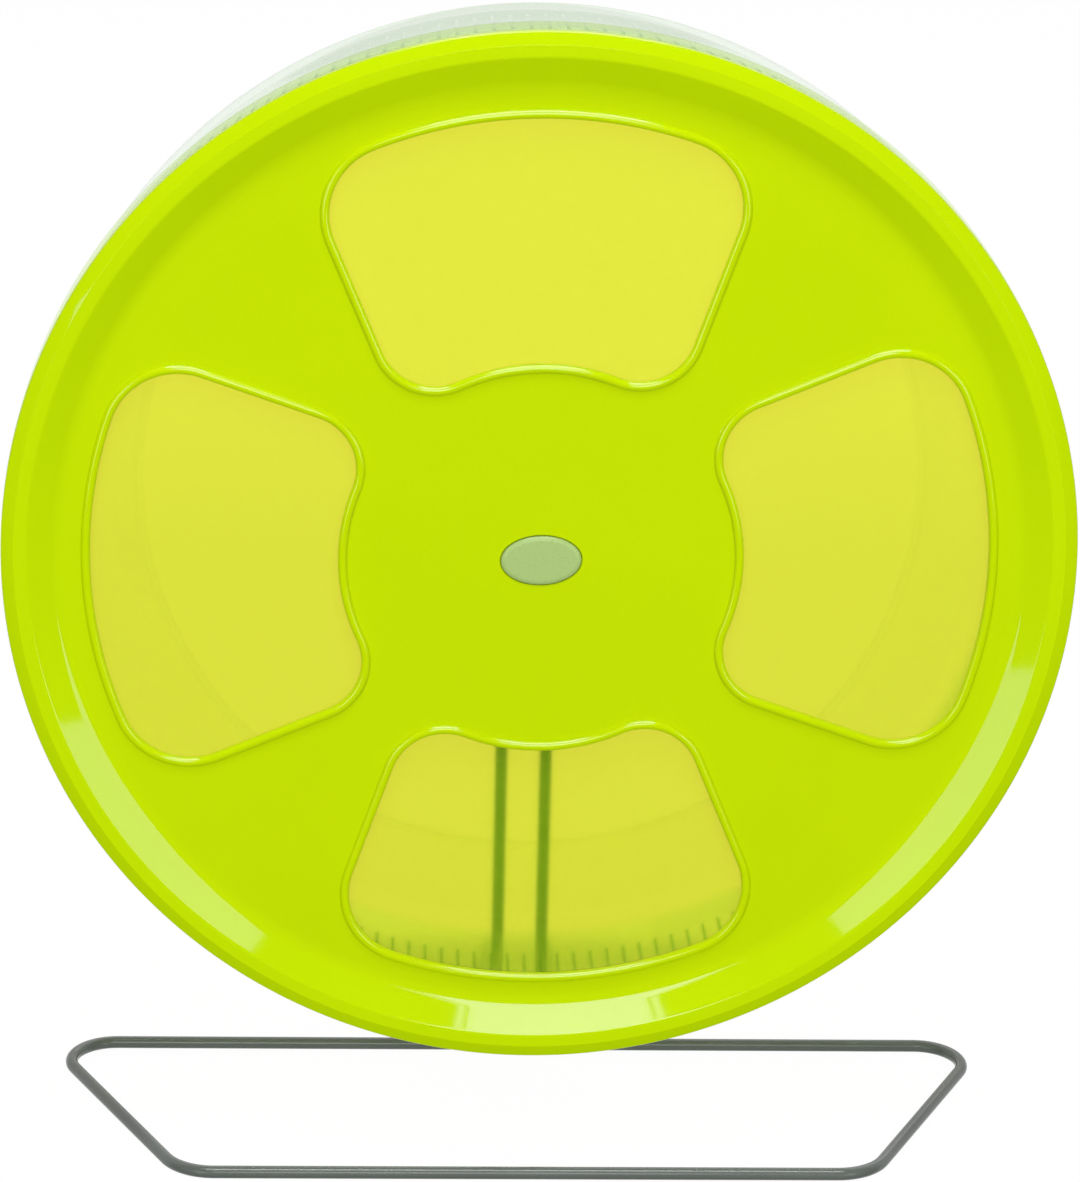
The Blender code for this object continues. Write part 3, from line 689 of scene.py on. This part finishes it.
def make_wire():
    """The bent wire: down one upright, round the base loop and up the other upright."""
    drop = hub.z - wire_radius
    corners = []
    for side in (-1, 1):
        half = [Vector((side * upright_x, wire_y, upright_top)), Vector((side * upright_x, wire_y, -drop)),
                Vector((side * far_x, wire_y, -drop)), Vector((side * near_x, near_y, -drop))]
        corners += half if side < 0 else list(reversed(half))
    bends = [upright_bend, far_bend, near_bend]
    bm = bmesh.new()
    tube(bm, rounded_path(corners, bends + bends[::-1], 16), wire_radius, 28)
    piece("stand_wire_round", bm, wire_paint, "stand", stand_place, 40.0, ["stand_wire"])


# The hub and the holder

axle_radius, thread_root_radius = 0.003, 0.0027
axle_bore = axle_radius + touch
# How far from the axis a solid's profile ends, and how far a cutting tool runs past a face
axis_radius, overrun = 0.0003, 0.001
hub_bore, hub_tube_radius, flange_radius = 0.0060, 0.0085, 0.020
flange_y, flange_end_y, tube_end_y = 0.0098, 0.0128, 0.0700
screw_head_radius, screw_head_height, slot_depth, slot_half_width = 0.0025, 0.0018, 0.0007, 0.00035
bush_length, bush_radius, spacer_radius = 0.010, 0.0057, 0.0052
washer_thickness, washer_radius, nut_washer_radius = 0.0008, 0.0051, 0.006
head_y, shank_y, head_radius = 0.0059, 0.0089, 0.0046
socket_radius, socket_depth, thread_pitch = 0.0018, 0.0018, 0.0005
holder_y, clamp_y, plate_thickness = 0.0826, 0.08715, 0.00425
holder_screw_x, holder_screw_heights, screw_tip_y = 0.0111, (0.0085, -0.0185), 0.0836
groove_radius = 0.0021
nut_y, nut_height, nut_width = 0.0928, 0.0045, 0.010
axle_end_y = 0.0990


def cut(bm, tools):
    """What is left of a mesh when the tools are taken away from it."""

    def thing_of(shape):
        bmesh.ops.recalc_face_normals(shape, faces=shape.faces)
        mesh = bpy.data.meshes.new("cut")
        shape.to_mesh(mesh)
        shape.free()
        return linked("cut", mesh)

    things = [thing_of(shape) for shape in (bm, *tools)]
    for tool in things[1:]:
        step = things[0].modifiers.new("cut", "BOOLEAN")
        step.operation = "DIFFERENCE"
        step.solver = "EXACT"
        step.object = tool
    result = bmesh.new()
    seen = things[0].evaluated_get(bpy.context.evaluated_depsgraph_get())
    result.from_mesh(seen.to_mesh())
    seen.to_mesh_clear()
    for thing in things:
        mesh = thing.data
        bpy.data.objects.remove(thing)
        bpy.data.meshes.remove(mesh)
    return result


def bar(outline, start, end):
    """A solid with the same outline all along, for cutting."""
    return prism([(outline, start), (outline, end)])


def lathe(profile, closed=True, columns=72):
    """A ring from a closed profile of (radius, y), or a solid from one that ends near the axis."""
    bm = bmesh.new()
    loops = [loop_at(bm, circle(radius, columns), y) for radius, y in profile]
    for one, two in zip(loops, loops[1:]):
        wall(bm, one, two)
    if closed:
        wall(bm, loops[-1], loops[0])
    else:
        fill(bm, [loops[0]])
        fill(bm, [loops[-1]])
    return bm


def softened(corners, radii, steps=4):
    """A closed profile with rounded corners."""
    middle = tuple((Vector(corners[-1]) + Vector(corners[0])) / 2)
    return rounded([middle, *corners, middle], radii, steps)[:-1]


def ring(inner, outer, start, end, edge=0.00015):
    """A washer, bush or spacer with slightly rounded edges."""
    return lathe(softened([(inner, start), (outer, start), (outer, end), (inner, end)], [edge] * 4))


def make_screws(name, places, seat, tip, body, place):
    """Numbered screws with domed, slotted heads that face backwards."""
    top = seat + screw_head_height
    profile = rounded([(axis_radius, tip), (screw_radius, tip), (screw_radius, seat),
                       (screw_head_radius, seat), (screw_head_radius, top), (axis_radius, top)],
                      [0.0003, 0.0, 0.0002, 0.0009], 6)
    reach, half = 0.004, slot_half_width
    slot_outline = [(-reach, -half), (reach, -half), (reach, half), (-reach, half)]
    for number, (x, z) in enumerate(places, start=1):
        slot = bar(slot_outline, top - slot_depth, top + overrun)
        bm = cut(lathe(profile, False, 48), [slot])
        bmesh.ops.translate(bm, verts=bm.verts, vec=(x, 0.0, z))
        made = f"{name}_{number}"
        piece(made + "_round", bm, zinc, body, place, 30.0, [made])


def make_hub():
    """The flanged bearing tube with its two bushes and four screws."""
    corners = [(hub_bore, flange_y), (flange_radius, flange_y), (flange_radius, flange_end_y),
               (hub_tube_radius, flange_end_y), (hub_tube_radius, tube_end_y), (hub_bore, tube_end_y)]
    turned_tube = lathe(softened(corners, [0.0002, 0.0004, 0.0004, 0.0012, 0.0004, 0.0002]), True, 120)
    holes = [bar(circle(screw_radius + touch, 32, place), flange_y - overrun, flange_end_y + overrun)
             for place in hub_screw_places]
    bearing_tube = cut(turned_tube, holes)
    piece("hub_tube_round", bearing_tube, grey_plastic, "wheel", wheel_place, 30.0,
          ["hub_tube"])
    front_bush_y = shank_y + washer_thickness + 2 * touch
    for name, start in (("front_bush", front_bush_y), ("rear_bush", tube_end_y - bush_length)):
        bush = ring(axle_bore, bush_radius, start, start + bush_length)
        piece(name + "_round", bush, bush_plastic, "wheel", wheel_place, 30.0, [name])
    make_screws("hub_screw", hub_screw_places, flange_end_y + touch, disc_back_y + touch, "wheel",
                wheel_place)


def nut_outline(inset):
    """A hexagon, its corners turned down; inset is the depth below the nut's face."""
    largest = nut_width / 2 * 0.97 + inset * 1.8
    turns = [math.tau * k / 96 for k in range(96)]
    reach = [min(nut_width / 2 / math.cos(turn % (math.tau / 6) - math.tau / 12), largest)
             for turn in turns]
    return [(r * math.cos(turn), r * math.sin(turn)) for r, turn in zip(reach, turns)]


def make_axle():
    """The bolt, threaded at its rear end, with its washers, spacer and nut."""
    thread_y = nut_y - 0.0002
    profile = rounded([(axis_radius, head_y + socket_depth), (socket_radius, head_y + socket_depth),
                       (socket_radius, head_y), (head_radius, head_y), (head_radius, shank_y),
                       (axle_radius, shank_y), (axle_radius, thread_y)],
                      [0.0, 0.0001, 0.0006, 0.0002, 0.0001], 5)
    turns = int((axle_end_y - 0.0003 - thread_y) / thread_pitch)
    for k in range(turns):
        profile += [(thread_root_radius, thread_y + (k + 0.5) * thread_pitch),
                    (axle_radius, thread_y + (k + 1) * thread_pitch)]
    profile += [(thread_root_radius, axle_end_y - 0.0001), (thread_root_radius - 0.0002, axle_end_y),
                (axis_radius, axle_end_y)]
    bolt = lathe(profile, False)
    piece("axle_bolt_round", bolt, zinc, "stand", stand_place, 30.0, ["axle_bolt"])
    # Pieces along the axle stand a touch apart
    rear_washer_y = tube_end_y + touch
    for name, radius, start in (("front_washer", washer_radius, shank_y + touch),
                                ("rear_washer", washer_radius, rear_washer_y),
                                ("nut_washer", nut_washer_radius, nut_y - touch - washer_thickness)):
        washer = ring(axle_bore, radius, start, start + washer_thickness)
        piece(name + "_round", washer, zinc, "stand", stand_place, 30.0, [name])
    spacer = ring(axle_bore, spacer_radius, rear_washer_y + washer_thickness + touch, holder_y - touch)
    piece("axle_spacer_round", spacer, grey_plastic, "stand", stand_place, 30.0,
          ["axle_spacer"])
    bm = bmesh.new()
    insets = [0.0, 0.00015, 0.0003, 0.00045]
    levels = [(nut_outline(inset), nut_y + inset) for inset in insets]
    levels += [(nut_outline(inset), nut_y + nut_height - inset) for inset in reversed(insets)]
    first, last = walls(bm, levels)
    bore = circle(axle_bore, 48)
    hole_first, hole_last = walls(bm, [(bore, nut_y), (bore, nut_y + nut_height)])
    fill(bm, [first, hole_first])
    fill(bm, [last, hole_last])
    piece("axle_nut_hexagon", bm, zinc, "stand", stand_place, 25.0, ["axle_nut"])


def holder_outline(inset):
    """The holder's plates as (x, z) points about the axle, smaller by inset all round."""
    radius = 0.004
    right, high, low = 0.0145 - radius, 0.014 - radius, -0.024 + radius
    outline = []
    for number, corner in enumerate([(right, high), (-right, high), (-right, low), (right, low)]):
        outline += arc(corner, radius - inset, number * quarter, (number + 1) * quarter, 12)
    return outline


def make_holder():
    """Two plates with rounded edges that grip the uprights in grooves, and the screws that close them."""
    places = [(side * holder_screw_x, height) for side in (-1, 1) for height in holder_screw_heights]
    edges = [(0.0005, 0.0), (0.00025, 0.00007), (0.00007, 0.00025), (0.0, 0.0005)]
    for name, start in (("holder_front", holder_y), ("holder_clamp", clamp_y)):
        end = start + plate_thickness
        levels = [(holder_outline(inset), start + depth) for inset, depth in edges]
        levels += [(holder_outline(inset), end - depth) for inset, depth in reversed(edges)]
        reach_y = start - overrun, end + overrun
        tools = [bar(circle(axle_bore, 48), *reach_y)]
        # The screws end inside the front plate
        hole_y = screw_tip_y - touch if name == "holder_front" else reach_y[0]
        tools += [bar(circle(screw_radius + touch, 32, place), hole_y, reach_y[1]) for place in places]
        for side in (-1, 1):
            groove = bmesh.new()
            heights = (-0.027, -0.01, upright_top + touch)
            tube(groove, [Vector((side * upright_x, wire_y, z)) for z in heights], groove_radius, 32)
            tools.append(groove)
        plate = cut(prism(levels), tools)
        piece(name + "_plate", plate, grey_plastic, "stand", stand_place, 30.0, [name])
    seat = clamp_y + plate_thickness + touch
    make_screws("holder_screw", places, seat, screw_tip_y, "stand", stand_place)


make_disc()
make_panes()
make_cap()
make_drum()
make_wire()
make_hub()
make_axle()
make_holder()


# Studio

def make_floor():
    """A pale floor, white to the eye, with a faint shadow, which the front of the disc doesn't mirror."""
    bm = bmesh.new()
    corners = [(-5.0, -4.0), (5.0, -4.0), (5.0, 6.0), (-5.0, 6.0)]
    bm.faces.new([bm.verts.new((x, y, 0.0)) for x, y in corners])
    mesh = bpy.data.meshes.new("floor")
    bm.to_mesh(mesh)
    bm.free()
    made = linked("floor", mesh)
    paint, tree, shader, output = nodes_of("floor_white")
    shader.inputs["Base Color"].default_value = (0.92, 0.92, 0.92, 1.0)
    shader.inputs["Roughness"].default_value = 0.9
    shader.inputs["Specular IOR Level"].default_value = 0.0
    white = tree.nodes.new("ShaderNodeEmission")
    white.inputs["Strength"].default_value = 1.02
    path = tree.nodes.new("ShaderNodeLightPath")
    place = tree.nodes.new("ShaderNodeTexCoord")
    split = tree.nodes.new("ShaderNodeSeparateXYZ")
    tree.links.new(place.outputs["Object"], split.inputs["Vector"])

    seen = math_node(tree, "MULTIPLY", path.outputs["Is Camera Ray"], 0.95)
    mirrored = math_node(tree, "MULTIPLY", path.outputs["Is Glossy Ray"], 0.95)
    through = math_node(tree, "MULTIPLY", path.outputs["Is Transmission Ray"], 0.85)
    share = math_node(tree, "MAXIMUM", math_node(tree, "MAXIMUM", seen, mirrored), through)
    # Through the panes the floor's glow is painted shade near the wheel, where its shadow would fall,
    # brightening to a white sweep behind
    painted_shade_sweep = tree.nodes.new("ShaderNodeValToRGB")
    for stop, level in ((0.100, 0.45), (0.112, 0.55), (0.126, 0.90), (0.30, 0.89), (0.50, 0.90)):
        painted_shade_sweep.color_ramp.elements.new(stop).color = (level, level, level, 1.0)
    painted_shade_sweep.color_ramp.elements[0].position = 0.04
    painted_shade_sweep.color_ramp.elements[0].color = (0.36, 0.36, 0.36, 1.0)
    painted_shade_sweep.color_ramp.elements[-1].position = 0.80
    tree.links.new(split.outputs["Y"], painted_shade_sweep.inputs["Fac"])
    colour = mix_colours(tree, path.outputs["Is Transmission Ray"], (1.0, 1.0, 1.0), painted_shade_sweep.outputs["Color"])
    tree.links.new(colour, white.inputs["Color"])
    plain = mix_shaders(tree, share, shader.outputs["BSDF"], white.outputs["Emission"])
    # From the uprights forward it fades out for all but the eye
    unseen = tree.nodes.new("ShaderNodeBsdfTransparent")
    other = math_node(tree, "SUBTRACT", 1.0, path.outputs["Is Camera Ray"])
    front = math_node(tree, "MULTIPLY", other, spread(tree, split.outputs["Y"], 1.0, 0.0, 0.02, 0.085))
    tree.links.new(mix_shaders(tree, front, plain, unseen.outputs["BSDF"]), output.inputs["Surface"])
    mesh.materials.append(paint)


def make_world():
    """White to the eye and through clear plastic; a dim room in front as the glossy surfaces see it."""
    world = bpy.data.worlds.new("studio")
    bpy.context.scene.world = world
    world.use_nodes = True
    tree = world.node_tree

    room = tree.nodes["Background"]
    place = tree.nodes.new("ShaderNodeTexCoord")
    split = tree.nodes.new("ShaderNodeSeparateXYZ")
    tree.links.new(place.outputs["Generated"], split.inputs["Vector"])
    # What lights the matt surfaces: bright in front and behind, dim at the sides, greener from below
    along = math_node(tree, "ABSOLUTE", split.outputs["Y"])
    tree.links.new(spread(tree, along, 0.05, 1.10, 0.2, 1.0), room.inputs["Strength"])
    height = spread(tree, split.outputs["Z"], 0.0, 1.0, -0.7, 0.3)
    tree.links.new(ramp(tree, height, (0.93, 1.05, 0.95), (1.0, 1.0, 1.0), 0.0, 1.0), room.inputs["Color"])
    # What the glossy surfaces mirror: dark in front, bright behind
    depth = spread(tree, split.outputs["Y"], 0.012, 1.0, -0.15, 0.15)
    mirror = tree.nodes.new("ShaderNodeBackground")
    tree.links.new(depth, mirror.inputs["Strength"])
    white = tree.nodes.new("ShaderNodeBackground")
    white.inputs["Color"].default_value = (1.0, 1.0, 1.0, 1.0)
    white.inputs["Strength"].default_value = 1.0
    path = tree.nodes.new("ShaderNodeLightPath")
    glossy = math_node(tree, "MAXIMUM", path.outputs["Is Glossy Ray"], path.outputs["Is Transmission Ray"])
    surroundings = mix_shaders(tree, glossy, room.outputs["Background"], mirror.outputs["Background"])
    # Through clear plastic it is white only where nothing else has scattered or mirrored the ray before
    bounces = math_node(tree, "ADD", path.outputs["Diffuse Depth"], path.outputs["Glossy Depth"])
    unbent = math_node(tree, "LESS_THAN", bounces, 0.5)
    direct = math_node(tree, "MULTIPLY", path.outputs["Is Transmission Ray"], unbent)
    eye = math_node(tree, "MAXIMUM", path.outputs["Is Camera Ray"], direct)
    final = mix_shaders(tree, eye, surroundings, white.outputs["Background"])
    tree.links.new(final, tree.nodes["World Output"].inputs["Surface"])


def lamp(name, place, width, height, level, roll=0.0):
    """A soft box that faces the wheel's hub, unseen through plastic that bends the view.

    level is how bright its face is, roll its lean in degrees.
    """
    data = bpy.data.lights.new(name, "AREA")
    data.shape = "RECTANGLE"
    data.size = width
    data.size_y = height
    data.energy = level * math.pi * width * height
    made = linked(name, data)
    towards = (Vector(place) - hub).normalized().to_track_quat("Z", "Y").to_matrix().to_4x4()
    made.visible_transmission = False
    made.matrix_world = Matrix.Translation(place) @ towards @ Matrix.Rotation(math.radians(roll), 4, "Z")


def make_camera():
    """The photograph's own viewpoint, fitted to the outlines of the wheel and the stand."""
    # Distances in units of the disc's radius as it was fitted
    fitted_radius, distance, aside, lower = 0.140, 8.0, -0.0022, -0.0480
    focal_pixels, image_height, sensor = 4297.4, 1182.0, 36.0
    azimuth, elevation, roll = math.radians(-2.59), math.radians(18.57), math.radians(1.36)
    level = math.cos(elevation)
    back = Vector((math.sin(azimuth) * level, -math.cos(azimuth) * level, math.sin(elevation)))
    right = Vector((math.cos(azimuth), math.sin(azimuth), 0.0))
    up = back.cross(right)
    rolled_right = right * math.cos(roll) + up * math.sin(roll)
    rolled_up = up * math.cos(roll) - right * math.sin(roll)
    place = hub + (right * aside + up * lower + back * distance) * fitted_radius
    data = bpy.data.cameras.new("camera")
    data.sensor_fit = "VERTICAL"
    data.sensor_height = sensor
    data.lens = sensor * focal_pixels / image_height
    data.clip_start = 0.01
    made = linked("camera", data)
    turn = Matrix((rolled_right, rolled_up, back)).transposed().to_4x4()
    made.matrix_world = Matrix.Translation(place) @ turn
    bpy.context.scene.camera = made


make_floor()
make_world()
lamp("softbox_front", (0.004, -1.45, 0.556), 0.386, 0.61, 3.15)
lamp("softbox_front_left_edge", (-0.212, -1.45, 0.556), 0.011, 0.54, 3.15)
lamp("softbox_front_right_edge", (0.222, -1.45, 0.556), 0.011, 0.54, 3.15)
lamp("softbox_left", (-0.764, -1.40, 0.172), 0.58, 0.65, 1.35, 22.6)
lamp("softbox_right", (0.827, -1.40, 0.183), 0.58, 0.68, 1.35, -22.6)
lamp("softbox_top", (0.0, -0.46, 1.60), 0.90, 0.22, 13.0)
lamp("softbox_upper", (0.0, -0.58, 1.00), 0.60, 0.30, 2.4)
lamp("softbox_back", (0.30, 1.20, 1.30), 1.40, 1.10, 0.90)
make_camera()
bpy.context.scene.view_settings.view_transform = "Standard"
